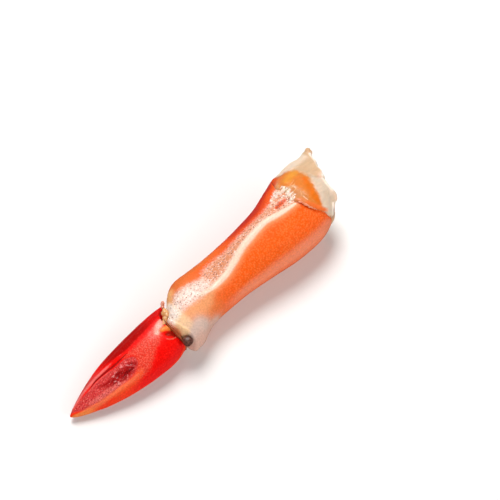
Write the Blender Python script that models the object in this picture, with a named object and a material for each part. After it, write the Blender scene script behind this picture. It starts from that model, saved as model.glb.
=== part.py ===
"""One cooked crab claw: a glossy red finger, a speckled shell sleeve and the meat that
stands out of the sleeve's broken end. It lies on its side. Finger tip at -X, torn meat at +X,
the shown side up, and the claw's convex edge at -Y."""

import math

import bpy
import bmesh
import numpy as np

MM = 0.001

# The sleeve: X, left edge, right edge, top and bottom, all in mm.
SLEEVE = (
    (-15.4, 6.2, -5.5, 12.8, 1.3),
    (-13.4, 8.1, -5.8, 14.0, 0.2),
    (-11.0, 10.3, -5.1, 14.6, -0.25),
    (-7.0, 12.0, -4.4, 14.6, 0.1),
    (-2.0, 11.1, -5.0, 14.2, 0.9),
    (5.0, 9.9, -6.1, 14.8, 1.2),
    (15.0, 9.1, -8.6, 16.8, 0.5),
    (24.0, 8.9, -10.9, 18.0, -0.2),
    (33.0, 10.2, -12.0, 18.0, 0.0),
    (40.0, 11.3, -10.2, 17.0, 0.9),
    (46.0, 10.8, -8.2, 15.6, 3.2),
)
SLEEVE_ROUND = 2.2  # exponent of the cross-section
KNUCKLE_X, KNUCKLE_LONG = -15.4, 1.8
WALL, GAP = 0.8, 0.35

# The ridge between the flat left face and the round right face: X and angle round the sleeve.
RIDGE = (
    (-8.0, 95.0), (-3.0, 116.0), (2.5, 107.0), (9.5, 89.0), (17.0, 79.0), (24.0, 81.0), (31.0, 93.0),
)
RIDGE_HIGH, RIDGE_WIDE = 0.6, 13.0
FACET_DEEP, FACET_WIDE, FACET_OFF = 0.7, 26.0, 44.0

# The condyle: a round lobe on the right of the knuckle.
LOBE_ANGLE, LOBE_WIDE, LOBE_LONG, LOBE_OUT = 202.0, 34.0, 0.7, 0.5

# The star-shaped dent beside the broken edge: X, Y, radius and depth.
DENT = (29.2, 0.6, 2.2, 0.55)

# The sleeve's broken edge: angle and X.
MOUTH = (
    (0.0, 39.4), (13.0, 38.0), (31.0, 34.7), (56.0, 33.3), (76.0, 33.4), (94.0, 32.2),
    (110.0, 32.8), (128.0, 34.2), (150.0, 36.2), (180.0, 38.4), (212.0, 37.2), (240.0, 35.6),
    (268.0, 37.0), (295.0, 35.4), (330.0, 37.8),
)
MOUTH_FROM = 26.0
INSIDE_X = np.linspace(-12.0, MOUTH_FROM, 15)

# The torn rim of the meat: angle, X, Y and Z. It rises to a knob at the far corner.
RIM = (
    (0.0, 48.2, 9.7, 8.2),
    (20.0, 52.1, 9.4, 10.9),
    (38.0, 49.4, 6.2, 13.2),
    (58.0, 47.5, 2.9, 14.5),
    (80.0, 45.9, -0.4, 15.2),
    (104.0, 44.4, -3.8, 15.0),
    (134.0, 43.3, -7.0, 13.0),
    (158.0, 42.6, -8.2, 10.6),
    (184.0, 40.6, -9.2, 7.8),
    (212.0, 40.4, -7.4, 4.7),
    (240.0, 41.8, -4.0, 3.4),
    (272.0, 40.9, 0.6, 2.6),
    (300.0, 43.2, 4.8, 3.3),
    (330.0, 44.6, 8.6, 5.2),
)
RIM_THICK, KNOB = 1.25, 0.55
HOLLOW = (42.0, 0.6, 9.2)  # the middle of the torn face
LUMP, FRAY = 0.35, 0.4

# The finger: X, left edge, right edge, top and bottom.
FINGER = (
    (-52.5, 9.7, 9.2, 2.3, 1.6),
    (-50.6, 10.4, 7.7, 3.4, 0.5),
    (-47.5, 11.2, 5.7, 4.7, 0.15),
    (-43.0, 12.0, 3.2, 6.2, 0.3),
    (-36.9, 12.5, 0.4, 8.0, 0.6),
    (-29.0, 12.1, -2.0, 9.8, 0.8),
    (-23.0, 11.6, -3.0, 10.8, 0.9),
    (-18.0, 11.1, -2.9, 11.2, 1.2),
    (-12.0, 10.6, -2.2, 9.4, 3.0),
)
FINGER_ROUND = 2.35

# Where the finger ends at the hinge: angle and X, and the middle of its end face.
FINGER_END = (
    (0.0, -12.8), (20.0, -13.4), (46.0, -16.2), (80.0, -18.2), (125.0, -18.8), (180.0, -18.6),
    (230.0, -18.7), (275.0, -18.4), (310.0, -16.8), (338.0, -13.9),
)
FINGER_CUP = (-19.1, 2.0, 5.8)

# The finger's crease on the left and its cutting edge on the right: angle, depth or height, width.
CREASE_ANGLE, CREASE_DEEP, CREASE_WIDE = 38.0, 0.35, 9.0
EDGE_ANGLE, EDGE_HIGH, EDGE_WIDE = 196.0, 0.4, 13.0

# The membrane in the hinge: middle Y and Z, half width and half height, and half thickness.
MEMBRANE = (2.5, 7.0, 5.4, 5.0)
MEMBRANE_THICK = 0.28
# The line it follows across the hinge: Y and X.
HINGE_LINE = ((-5.0, -18.22), (-1.0, -18.22), (2.6, -18.1), (4.8, -17.4), (6.4, -16.3), (8.1, -14.5))

# The beads at the hinge's two ends: centre and radius, and the room round them.
BEAD_LEFT = ((-15.5, 6.8, 10.3), 1.1)
BEAD_RIGHT = ((-17.8, -2.9, 9.7), 1.2)
CLEAR = 0.65

ROUND_SLEEVE, ROUND_FINGER = 48, 36

MATERIALS = {
    "finger_red": ((0.72, 0.03, 0.02), 0.25),
    "sleeve_orange": ((0.86, 0.22, 0.06), 0.38),
    "meat_cream": ((0.86, 0.68, 0.47), 0.45),
    "membrane_tan": ((0.55, 0.22, 0.10), 0.5),
    "bead_cream": ((0.74, 0.55, 0.36), 0.4),
    "bead_grey": ((0.30, 0.19, 0.17), 0.4),
}


def clear_scene():
    for thing in list(bpy.data.objects):
        bpy.data.objects.remove(thing, do_unlink=True)


def eased(knots, at):
    """A smooth curve through the knots that never overshoots them."""
    xs = np.array([k[0] for k in knots], float)
    ys = np.array([k[1] for k in knots], float)
    step = np.diff(xs)
    rise = np.diff(ys) / step
    slope = np.zeros(len(xs))
    slope[0], slope[-1] = rise[0], rise[-1]
    for i in range(1, len(xs) - 1):
        if rise[i - 1] * rise[i] > 0:
            w1 = 2 * step[i] + step[i - 1]
            w2 = step[i] + 2 * step[i - 1]
            slope[i] = (w1 + w2) / (w1 / rise[i - 1] + w2 / rise[i])
    at = np.clip(np.asarray(at, float), xs[0], xs[-1])
    i = np.clip(np.searchsorted(xs, at, side="right") - 1, 0, len(step) - 1)
    t = (at - xs[i]) / step[i]
    return (
        ys[i] * (1 + 2 * t) * (1 - t) ** 2
        + slope[i] * step[i] * t * (1 - t) ** 2
        + ys[i + 1] * t * t * (3 - 2 * t)
        + slope[i + 1] * step[i] * t * t * (t - 1)
    )


def eased_round(knots, angles, column=1):
    """The same curve over angles in degrees, closed on itself."""
    pairs = [(k[0], k[column]) for k in knots]
    around = [(a + turn, v) for turn in (-360.0, 0.0, 360.0) for a, v in pairs]
    return eased(around, np.mod(angles, 360.0))


def off_by(angle, centre):
    """Degrees from centre, between -180 and 180."""
    return np.mod(angle - centre + 180.0, 360.0) - 180.0


def hump(distance, width):
    return np.exp(-((distance / width) ** 2))


def sides(stations, x):
    return [eased([(s[0], s[i]) for s in stations], x) for i in (1, 2, 3, 4)]


def loop_points(stations, x, angle, inset, roundness, shrink=1.0):
    """Y and Z on the cross-section at x, with the unit direction out of its centre."""
    left, right, top, bottom = sides(stations, x)
    wide = ((left - right) / 2 - inset) * shrink
    high = ((top - bottom) / 2 - inset) * shrink
    turn = np.radians(angle)
    c, s = np.cos(turn), np.sin(turn)
    y = wide * np.sign(c) * np.abs(c) ** (2 / roundness)
    z = high * np.sign(s) * np.abs(s) ** (2 / roundness)
    far = np.maximum(np.hypot(y, z), 1e-6)
    return y, z, y / far, z / far, (left + right) / 2, (top + bottom) / 2


def sleeve(x, angle, inset, shrink=1.0):
    """Points of the sleeve's surface, inset by so many mm."""
    y, z, out_y, out_z, mid_y, mid_z = loop_points(SLEEVE, x, angle, inset, SLEEVE_ROUND, shrink)
    ridge = eased(RIDGE, x)
    shown = 1 / (1 + np.exp(-(x + 7.0) / 1.2)) / (1 + np.exp((x - 31.0) / 2.0))
    push = RIDGE_HIGH * hump(off_by(angle, ridge), RIDGE_WIDE) * shown
    push = push - FACET_DEEP * hump(off_by(angle, ridge - FACET_OFF), FACET_WIDE) * shown
    dent_x, dent_y, radius, deep = DENT
    near = np.hypot(x - dent_x, y + mid_y - dent_y)
    push = push - deep * hump(near, radius) * (z > 0)
    lobe = hump(off_by(angle, LOBE_ANGLE), LOBE_WIDE) * hump(x + 16.0, 2.8)
    y = y + out_y * push + mid_y - LOBE_OUT * lobe * shrink
    z = z + out_z * push + mid_z
    return np.stack([x - LOBE_LONG * lobe * (x < -13.8), y, z], axis=-1)


def finger(x, angle, shrink=1.0):
    y, z, out_y, out_z, mid_y, mid_z = loop_points(FINGER, x, angle, 0.0, FINGER_ROUND, shrink)
    size = np.clip((x + 52.5) / 8.0, 0.0, 1.0)
    push = -CREASE_DEEP * hump(off_by(angle, CREASE_ANGLE), CREASE_WIDE) * size
    push = push + EDGE_HIGH * hump(off_by(angle, EDGE_ANGLE), EDGE_WIDE) * size
    return np.stack([x + 0 * y, y + out_y * push + mid_y, z + out_z * push + mid_z], axis=-1)


def pushed_clear(points, bead):
    """Moves points out of the ball that the bead needs."""
    centre, radius = np.array(bead[0]), bead[1] + CLEAR
    apart = points - centre
    far = np.linalg.norm(apart, axis=-1, keepdims=True)
    return np.where(far < radius, centre + apart / np.maximum(far, 1e-6) * radius, points)


def lumps(points, scale, seed):
    """Soft bumps of about one unit that depend only on place."""
    draw = np.random.default_rng(seed)
    total = np.zeros(points.shape[:-1])
    for _ in range(7):
        way = draw.normal(size=3)
        way /= np.linalg.norm(way)
        waves = 2 * math.pi / scale * draw.uniform(0.7, 1.5)
        total = total + np.sin(points @ way * waves + draw.uniform(0, 2 * math.pi))
    return total / 4.0


def solid(name, rings, first, last, material):
    """A closed body from loops of points and a pole at each end."""
    bm = bmesh.new()
    loops = [[bm.verts.new(p * MM) for p in ring] for ring in rings]
    poles = [bm.verts.new(np.array(p) * MM) for p in (first, last)]
    count = len(loops[0])
    for here, there in zip(loops, loops[1:]):
        for i in range(count):
            j = (i + 1) % count
            bm.faces.new((here[i], here[j], there[j], there[i]))
    for i in range(count):
        j = (i + 1) % count
        bm.faces.new((poles[0], loops[0][j], loops[0][i]))
        bm.faces.new((poles[1], loops[-1][i], loops[-1][j]))
    bmesh.ops.recalc_face_normals(bm, faces=bm.faces)
    mesh = bpy.data.meshes.new(name)
    bm.to_mesh(mesh)
    bm.free()
    thing = bpy.data.objects.new(name, mesh)
    bpy.context.scene.collection.objects.link(thing)
    mesh.materials.append(material)
    bpy.ops.object.select_all(action="DESELECT")
    thing.select_set(True)
    bpy.context.view_layer.objects.active = thing
    bpy.ops.object.shade_smooth()
    mesh.set_sharp_from_angle(angle=math.radians(60))
    return thing


def made_materials():
    made = {}
    for name, (colour, rough) in MATERIALS.items():
        material = bpy.data.materials.new(name)
        material.use_nodes = True
        shader = material.node_tree.nodes["Principled BSDF"]
        shader.inputs["Base Color"].default_value = (*colour, 1.0)
        shader.inputs["Roughness"].default_value = rough
        shader.inputs["Metallic"].default_value = 0.0
        material.diffuse_color = (*colour, 1.0)
        made[name] = material
    return made


def angles_of(count, crowd_at=0.0, crowd=0.0):
    """Angles round the loop, closer together at crowd_at."""
    even = np.arange(count) * 360.0 / count
    return even - np.degrees(crowd * np.sin(np.radians(even - crowd_at)))


def build_sleeve(material, angles):
    mouth = eased_round(MOUTH, angles)
    rings = []
    for turn in (78, 62, 44, 26, 10):
        bent = math.radians(turn)
        x = np.full(len(angles), KNUCKLE_X - KNUCKLE_LONG * math.sin(bent))
        rings.append(sleeve(x, angles, 0.0, math.cos(bent) ** 0.75))
    for x in (*np.linspace(KNUCKLE_X, -11.4, 5), *np.linspace(-9.8, MOUTH_FROM, 19)):
        rings.append(sleeve(np.full(len(angles), x), angles, 0.0))
    for part in (0.3, 0.6, 0.85, 1.0):
        rings.append(sleeve(MOUTH_FROM + (mouth - MOUTH_FROM) * part, angles, 0.0))
    outer = len(rings)
    for part in (1.0, 0.5):
        rings.append(sleeve(MOUTH_FROM + (mouth - 0.12 - MOUTH_FROM) * part, angles, WALL))
    for x in reversed(INSIDE_X):
        rings.append(sleeve(np.full(len(angles), x), angles, WALL))
    rings.append(sleeve(np.full(len(angles), INSIDE_X[0] - 1.1), angles, WALL, 0.8))
    rings.append(sleeve(np.full(len(angles), INSIDE_X[0] - 1.6), angles, WALL, 0.45))
    for i, ring in enumerate(rings):
        if i < outer:
            ring = pushed_clear(pushed_clear(ring, BEAD_LEFT), BEAD_RIGHT)
            ring[:, 2] = np.maximum(ring[:, 2], 0.0)
        rings[i] = ring
    first = rings[0].mean(axis=0) - np.array((0.25, 0, 0))
    last = rings[-1].mean(axis=0)
    return solid("palm_shell", rings, first, last, material)


def build_meat(material, angles):
    inset = WALL + GAP
    mouth = eased_round(MOUTH, angles)
    rings = [sleeve(np.full(len(angles), INSIDE_X[0] - 1.15), angles, inset, 0.4)]
    rings.append(sleeve(np.full(len(angles), INSIDE_X[0] - 0.65), angles, inset, 0.76))
    for x in INSIDE_X:
        tuck = 0.95 if x == INSIDE_X[0] else 1.0
        rings.append(sleeve(np.full(len(angles), x), angles, inset, tuck))
    rings.append(sleeve(MOUTH_FROM + (mouth - 0.12 - MOUTH_FROM) * 0.5, angles, inset))
    rings.append(sleeve(mouth - 0.12, angles, inset))
    for past, deep in ((0.35, inset), (0.6, 0.5), (1.0, 0.12), (1.8, 0.0)):
        rings.append(sleeve(mouth + past, angles, deep))
    rim = np.stack([eased_round(RIM, angles, column) for column in (1, 2, 3)], axis=-1)
    rim[:, 0] += lumps(rim, 4.2, 5) * FRAY
    start = rings[-1]
    away = start - rings[-2]
    away /= np.linalg.norm(away, axis=-1, keepdims=True)
    reach = np.linalg.norm(rim - start, axis=-1, keepdims=True)
    inward = np.array(HOLLOW) - rim
    inward[:, 0] = 0
    inward /= np.linalg.norm(inward, axis=-1, keepdims=True)
    # The outside bends from the sleeve's line towards the rim.
    for part in (0.16, 0.33, 0.5, 0.67, 0.82, 0.93, 1.0):
        bend = start + away * reach * part
        straight = start + (rim - start) * part
        ring = bend * (1 - part) ** 2 + straight * (1 - (1 - part) ** 2)
        rough = lumps(ring, 6.5, 11)[:, None] * LUMP * math.sin(math.pi * min(part, 0.8) * 0.62)
        rings.append(ring - inward * rough)
    edge = rings[-1]
    knob = hump(off_by(angles, 20.0), 9.0)[:, None] * KNOB
    rings[-1] = edge - inward * knob * 0.6
    forward = np.array((0.45, 0.0, 0.0))
    rings.append(edge + forward + inward * RIM_THICK * 0.5 + forward * knob)
    rings.append(edge + inward * (RIM_THICK + knob * 0.6))
    inner = rings[-1]
    floor = np.array(HOLLOW)
    for part in (0.16, 0.36, 0.58, 0.8):
        ring = inner + (floor - inner) * part
        sunk = (inner[:, 0] - floor[0]) * (1 - (1 - part) ** 1.9)
        ring[:, 0] = inner[:, 0] - sunk
        ring[:, 0] += lumps(ring, 5.0, 23) * 0.5
        rings.append(ring)
    for ring in rings:
        ring[:, 2] = np.maximum(ring[:, 2], 0.05)
    return solid("palm_meat", rings, rings[0].mean(axis=0) - np.array((0.1, 0, 0)), floor, material)


def build_finger(material, angles):
    end = eased_round(FINGER_END, angles)
    rings = []
    for x in (-52.35, -51.9, -51.1, -50.0, -48.5, -46.5, -44.2, -41.8, -39.4, -37.0, -34.6, -32.2,
              -29.8, -27.4, -25.0, -22.8):
        rings.append(finger(np.full(len(angles), x), angles))
    rings[0] = rings[0].mean(axis=0) + (rings[0] - rings[0].mean(axis=0)) * 0.72
    for part in (0.33, 0.62, 0.84, 1.0):
        x = -22.8 + (end + 22.8) * part
        tuck = 1 - 0.05 * part**4
        rings.append(finger(x, angles, tuck))
    cup = np.array(FINGER_CUP)
    edge = rings[-1]
    for part, drop in ((0.1, 0.15), (0.3, 0.42), (0.52, 0.74), (0.76, 0.93)):
        ring = edge + (cup - edge) * part
        ring[:, 0] = edge[:, 0] + (cup[0] - edge[:, 0]) * drop
        rings.append(ring)
    for i, ring in enumerate(rings):
        ring = pushed_clear(pushed_clear(ring, BEAD_LEFT), BEAD_RIGHT)
        ring[:, 2] = np.maximum(ring[:, 2], 0.0)
        rings[i] = ring
    tip = rings[0].mean(axis=0) - np.array((0.15, 0, 0))
    return solid("finger_shell", rings, tip, cup, material)


def build_membrane(material):
    mid_y, mid_z, wide, high = MEMBRANE
    angles = angles_of(36)
    turn = np.radians(angles)
    # The outline gives way to the two beads.
    trim = 1 - 0.31 * hump(off_by(angles, 40.0), 20.0) - 0.2 * hump(off_by(angles, 150.0), 20.0)
    rings = []
    for side in (-1, 1):
        for part in ((0.35, 0.7, 0.92, 1.0) if side < 0 else (0.92, 0.7, 0.35)):
            y = mid_y + wide * part * trim * np.cos(turn)
            z = mid_z + high * part * trim * np.sin(turn)
            x = eased(HINGE_LINE, y) + side * MEMBRANE_THICK * math.sqrt(1 - part * part * 0.96)
            ring = np.stack([x, y, z], axis=-1)
            rings.append(pushed_clear(pushed_clear(ring, BEAD_LEFT), BEAD_RIGHT))
    middle = float(eased(HINGE_LINE, mid_y))
    first = (middle - MEMBRANE_THICK, mid_y, mid_z)
    last = (middle + MEMBRANE_THICK, mid_y, mid_z)
    return solid("hinge_membrane", rings, first, last, material)


def build_bead(name, bead, material):
    (x, y, z), radius = bead
    turn = np.radians(angles_of(14))
    rings = []
    for down in (0.86, 0.5, 0.0, -0.5, -0.86):
        out = radius * math.sqrt(1 - down * down)
        level = np.full(len(turn), z + radius * down)
        rings.append(np.stack([x + out * np.cos(turn), y + out * np.sin(turn), level], axis=-1))
    return solid(name, rings, (x, y, z + radius), (x, y, z - radius), material)


clear_scene()
looks = made_materials()
crowded = angles_of(ROUND_SLEEVE, 24.0, 0.28)
build_finger(looks["finger_red"], angles_of(ROUND_FINGER))
build_sleeve(looks["sleeve_orange"], crowded)
build_meat(looks["meat_cream"], crowded)
build_membrane(looks["membrane_tan"])
build_bead("hinge_bead_left", BEAD_LEFT, looks["bead_cream"])
build_bead("hinge_bead_right", BEAD_RIGHT, looks["bead_grey"])
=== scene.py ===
import math

import bpy
import numpy as np
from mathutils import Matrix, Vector, noise
from mathutils.bvhtree import BVHTree


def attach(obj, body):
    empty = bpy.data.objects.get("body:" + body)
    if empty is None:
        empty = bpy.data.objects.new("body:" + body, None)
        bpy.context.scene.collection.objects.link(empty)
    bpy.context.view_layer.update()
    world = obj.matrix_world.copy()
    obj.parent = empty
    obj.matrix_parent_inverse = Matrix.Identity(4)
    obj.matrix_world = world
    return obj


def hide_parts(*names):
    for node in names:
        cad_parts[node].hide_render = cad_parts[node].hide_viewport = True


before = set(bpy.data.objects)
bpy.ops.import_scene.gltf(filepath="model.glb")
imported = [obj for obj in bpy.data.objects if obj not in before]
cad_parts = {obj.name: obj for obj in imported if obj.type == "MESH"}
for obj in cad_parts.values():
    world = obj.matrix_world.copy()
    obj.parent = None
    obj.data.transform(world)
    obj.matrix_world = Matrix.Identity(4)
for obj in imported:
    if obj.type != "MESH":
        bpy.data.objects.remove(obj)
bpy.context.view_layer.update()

scene = bpy.context.scene
mm = 0.001
# The claw lies along X: finger tip at -X, torn meat at +X. Every place, width and height below is in mm,
# and a place with two numbers is X and Y as seen from straight above.


def linear(hexColour):
    parts = [int(hexColour[i:i + 2], 16) / 255 for i in (1, 3, 5)]
    return (*[p / 12.92 if p <= 0.04045 else ((p + 0.055) / 1.055) ** 2.4 for p in parts], 1.0)


def activate(piece):
    bpy.ops.object.select_all(action="DESELECT")
    piece.select_set(True)
    bpy.context.view_layer.objects.active = piece


def applied(piece, kind, **settings):
    activate(piece)
    modifier = piece.modifiers.new(kind.lower(), kind)
    for name, value in settings.items():
        setattr(modifier, name, value)
    bpy.ops.object.modifier_apply(modifier=modifier.name)


def subdivided(piece, levels):
    applied(piece, "SUBSURF", levels=levels, render_levels=levels)


def fused(piece, voxel, rounds):
    # lumps that overlap grown into one skin, then rounded off
    applied(piece, "REMESH", mode="VOXEL", voxel_size=voxel * mm)
    applied(piece, "SMOOTH", factor=0.5, iterations=rounds)


def copyOf(node, name):
    # the node's own mesh, its doubles merged and most of its triangles paired into quads
    piece = bpy.data.objects.new(name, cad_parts[node].data.copy())
    piece.data.name = name
    piece.data.materials.clear()
    scene.collection.objects.link(piece)
    activate(piece)
    bpy.ops.object.mode_set(mode="EDIT")
    bpy.ops.mesh.select_all(action="SELECT")
    bpy.ops.mesh.remove_doubles(threshold=0.01 * mm)
    quadTurn = 1.2  # how far, in radians, two triangles of a quad may turn from each other
    bpy.ops.mesh.tris_convert_to_quads(face_threshold=quadTurn, shape_threshold=quadTurn)
    bpy.ops.mesh.customdata_custom_splitnormals_clear()
    bpy.ops.object.mode_set(mode="OBJECT")
    return piece


def finerWhere(piece, low, high, cuts):
    # divides only the faces that look up and lie between two corners of a box
    activate(piece)
    bpy.ops.object.mode_set(mode="EDIT")
    bpy.ops.mesh.select_mode(type="FACE")
    bpy.ops.mesh.select_all(action="DESELECT")
    bpy.ops.object.mode_set(mode="OBJECT")
    for face in piece.data.polygons:
        boxed = all(a < middle < b for a, middle, b in zip(low, face.center / mm, high))
        face.select = boxed and face.normal.z > 0.3
    bpy.ops.object.mode_set(mode="EDIT")
    bpy.ops.mesh.subdivide(number_cuts=cuts)
    bpy.ops.object.mode_set(mode="OBJECT")


def lumps(name, spots):
    # rounded lumps, each a place, a radius and how far it is drawn out along a direction
    made = []
    for place, radius, *drawn in spots:
        bpy.ops.object.select_all(action="DESELECT")
        bpy.ops.mesh.primitive_ico_sphere_add(subdivisions=3, radius=radius * mm)
        lump = bpy.context.object
        if drawn:
            way = Vector(drawn[0])
            lump.scale = (1, 1, drawn[1])
            lump.rotation_euler = way.to_track_quat("Z", "Y").to_euler()
        lump.location = Vector(place) * mm
        bpy.ops.object.transform_apply(location=True, rotation=True, scale=True)
        made.append(lump)
    activate(made[0])
    for lump in made:
        lump.select_set(True)
    bpy.ops.object.join()
    made[0].name = made[0].data.name = name
    return made[0]


def places(piece):
    # where each vertex is, in mm
    spots = np.empty(len(piece.data.vertices) * 3)
    piece.data.vertices.foreach_get("co", spots)
    return spots.reshape(-1, 3) / mm


def facing(piece):
    # the normal of each vertex
    ways = np.empty(len(piece.data.vertices) * 3)
    piece.data.vertices.foreach_get("normal", ways)
    return ways.reshape(-1, 3)


def soften(value, low, high):
    # 0 up to low, 1 from high on, and a smooth step between them
    t = np.clip((value - low) / (high - low), 0, 1)
    return t * t * (3 - 2 * t)


def curveThrough(points, steps=8):
    # a smooth line (Catmull-Rom) through given points
    p = np.array([points[0], *points, points[-1]], float)
    made = []
    for a, b, c, d in zip(p, p[1:], p[2:], p[3:]):
        for t in np.arange(steps) / steps:
            made.append(b + 0.5 * t * (c - a + t * (2 * a - 5 * b + 4 * c - d + t * (3 * (b - c) + d - a))))
    return np.array([*made, p[-1]])


def farFrom(spots, line):
    # distance to a line of points, in as many axes as the line has, and how far along it
    line = np.asarray(line, float)
    spots = spots[:, :line.shape[1]]
    best, share = np.full(len(spots), 1e9), np.zeros(len(spots))
    for i, (a, b) in enumerate(zip(line, line[1:])):
        t = np.clip((spots - a) @ (b - a) / max((b - a) @ (b - a), 1e-9), 0, 1)
        far = np.linalg.norm(spots - a - t[:, None] * (b - a), axis=1)
        share = np.where(far < best, (i + t) / (len(line) - 1), share)
        best = np.minimum(best, far)
    return best, share


def nearLine(spots, points, width, taper=0.0):
    # 1 on the line, falling softly to 0; taper thins the two ends
    far, share = farFrom(spots, curveThrough(points))
    wide = width * (1 - taper * np.abs(2 * share - 1) ** 2)
    return np.exp(-(far / np.maximum(wide, 0.01)) ** 2)


def inside(spots, outline, soft):
    # 1 inside a closed outline seen from above, 0 outside, with an edge so many mm soft
    ring = curveThrough([*outline, outline[0]], 4)
    x, y = spots[:, 0], spots[:, 1]
    enclosed = np.zeros(len(spots), bool)
    for (ax, ay), (bx, by) in zip(ring, ring[1:]):
        if ay != by:
            crosses = (ay > y) != (by > y)
            enclosed ^= crosses & (x < ax + (y - ay) / (by - ay) * (bx - ax))
    far, _ = farFrom(spots, ring)
    return soften(np.where(enclosed, far, -far), -soft / 2, soft / 2)


def spot(spots, place, radius):
    # 1 at the place, falling softly to 0
    return np.exp(-(np.linalg.norm(spots[:, :len(place)] - np.array(place), axis=1) / radius) ** 2)


def along(spots, shape, name):
    # near one of a piece's lines, as wide and as tapered as its dictionary says
    return nearLine(spots, shape[name], *shape["widths"][name])


def within(spots, shape, name):
    # inside one of a piece's outlines, with an edge as soft as its dictionary says
    return inside(spots, shape[name], shape["softEdges"][name])


def noiseAt(spots, size, where=None, stretch=(1, 1, 1), kind="clouds", seed=0):
    # Blender's own noise at each place, worked out only where it counts, each kind brought to 0 to 1
    made = np.zeros(len(spots))
    wanted = range(len(spots)) if where is None else np.nonzero(where > 0.004)[0]
    shift = Vector((seed * 7.31, seed * 3.17, seed * 5.71))
    for i in wanted:
        p = Vector(spots[i] / size / np.array(stretch)) + shift
        if kind == "ridges":
            made[i] = noise.ridged_multi_fractal(p, 0.9, 2.1, 3, 1.0, 2.0) / 2.2
        elif kind == "cells":
            apart = noise.voronoi(p)[0]
            made[i] = (apart[1] - apart[0]) * 1.6
        elif kind == "dots":
            made[i] = 1 - noise.voronoi(p)[0][0] * 1.5
        else:
            made[i] = noise.turbulence(p, 3, False) * 0.5 + 0.5
    return np.clip(made, 0, 1)


def appliedWhere(piece, share, kind, **settings):
    # a modifier that acts on each vertex by its share, from 0 to 1
    group = piece.vertex_groups.new(name="share")
    for i in np.nonzero(share)[0]:
        group.add([int(i)], float(share[i]), "REPLACE")
    applied(piece, kind, vertex_group="share", **settings)
    piece.vertex_groups.remove(piece.vertex_groups["share"])


def relief(piece, heights, way="NORMAL"):
    # pushes the surface out by these heights, and in where they are below 0
    for side in (1, -1):
        pushed = np.clip(side * heights, 0, None)
        pushed[pushed <= 0.002] = 0  # so little doesn't show
        peak = pushed.max()
        if peak > 0.003:
            strength = side * peak * mm
            appliedWhere(piece, pushed / peak, "DISPLACE", strength=strength, mid_level=0.0, direction=way)


def mark(piece, **masks):
    # painted masks that the piece's material reads
    for name, weights in masks.items():
        layer = piece.data.attributes.new(name, "FLOAT", "POINT")
        layer.data.foreach_set("value", np.clip(weights, 0, 1).astype(np.float32))


def finish(piece, material, node=None):
    activate(piece)
    bpy.ops.object.shade_smooth()
    piece.data.materials.append(material)
    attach(piece, "root")
    if node:
        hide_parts(node)
    print(f"{piece.name}: {len(piece.data.polygons)} faces")


def addNode(tree, kind, values=(), links=(), **settings):
    # a shader node with its settings, the values of its sockets and what is linked into them
    node = tree.nodes.new(kind)
    for name, value in settings.items():
        setattr(node, name, value)
    for socket, value in dict(values).items():
        node.inputs[socket].default_value = value
    for socket, source in dict(links).items():
        tree.links.new(source, node.inputs[socket])
    return node


def newMaterial(name):
    material = bpy.data.materials.new(name)
    material.use_nodes = True
    tree = material.node_tree
    place = addNode(tree, "ShaderNodeTexCoord").outputs["Object"]
    return material, tree, tree.nodes["Principled BSDF"], place


def shareOf(tree, place, mask, low, high, ragged, size):
    # how much of a painted mask shows, its edge broken up by noise of this size
    weight = addNode(tree, "ShaderNodeAttribute", attribute_name=mask)
    rough = addNode(tree, "ShaderNodeTexNoise", {"Scale": 1 / (size * mm), "Detail": 3.0}, {"Vector": place})
    broken = addNode(
        tree, "ShaderNodeMath", {1: ragged}, {0: rough.outputs["Fac"], 2: weight.outputs["Fac"]},
        operation="MULTIPLY_ADD",
    )
    return addNode(
        tree, "ShaderNodeMapRange", {"From Min": low + ragged / 2, "From Max": high + ragged / 2},
        {"Value": broken.outputs[0]}, interpolation_type="SMOOTHSTEP",
    ).outputs[0]


def painted(tree, place, ground, tints):
    # a ground colour and tints laid over it, each a mask, a colour, the values of the mask where it
    # starts and is full, how ragged its edge is, and how coarse that is
    under = None
    for mask, colour, low, high, ragged, size in tints:
        share = shareOf(tree, place, mask, low, high, ragged, size)
        layer = addNode(
            tree, "ShaderNodeMix", {6: linear(ground), 7: linear(colour)}, {0: share}, data_type="RGBA",
        )
        if under:
            tree.links.new(under, layer.inputs[6])
        under = layer.outputs[2]
    return under


def specks(tree, place, under, mask, colour, size, radius):
    # small round specks, this size apart and each a share of it wide, where the mask is painted
    dots = addNode(tree, "ShaderNodeTexVoronoi", {"Scale": 1 / (size * mm)}, {"Vector": place})
    disc = addNode(
        tree, "ShaderNodeMapRange",
        {"From Min": radius * 0.5, "From Max": radius, "To Min": 1.0, "To Max": 0.0},
        {"Value": dots.outputs["Distance"]},
    )
    where = addNode(tree, "ShaderNodeAttribute", attribute_name=mask)
    share = addNode(
        tree, "ShaderNodeMath", links={0: disc.outputs[0], 1: where.outputs["Fac"]}, operation="MULTIPLY",
    )
    return addNode(
        tree, "ShaderNodeMix", {7: linear(colour)}, {0: share.outputs[0], 6: under}, data_type="RGBA",
    ).outputs[2]


def grained(tree, place, under, size, strength, stretch=(1, 1, 1)):
    # a fine lighter and darker grain over the whole surface
    turned = addNode(tree, "ShaderNodeMapping", {"Scale": stretch}, {"Vector": place})
    fine = addNode(
        tree, "ShaderNodeTexNoise", {"Scale": 1 / (size * mm), "Detail": 2.0}, {"Vector": turned.outputs[0]},
    )
    lift = addNode(
        tree, "ShaderNodeMapRange",
        {"From Min": 0.3, "From Max": 0.7, "To Min": 1 - strength, "To Max": 1 + strength},
        {"Value": fine.outputs["Fac"]},
    )
    grey = addNode(tree, "ShaderNodeCombineColor", links={i: lift.outputs[0] for i in range(3)})
    return addNode(
        tree, "ShaderNodeMix", {0: 1.0}, {6: under, 7: grey.outputs[0]},
        data_type="RGBA", blend_type="MULTIPLY",
    ).outputs[2]


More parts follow.
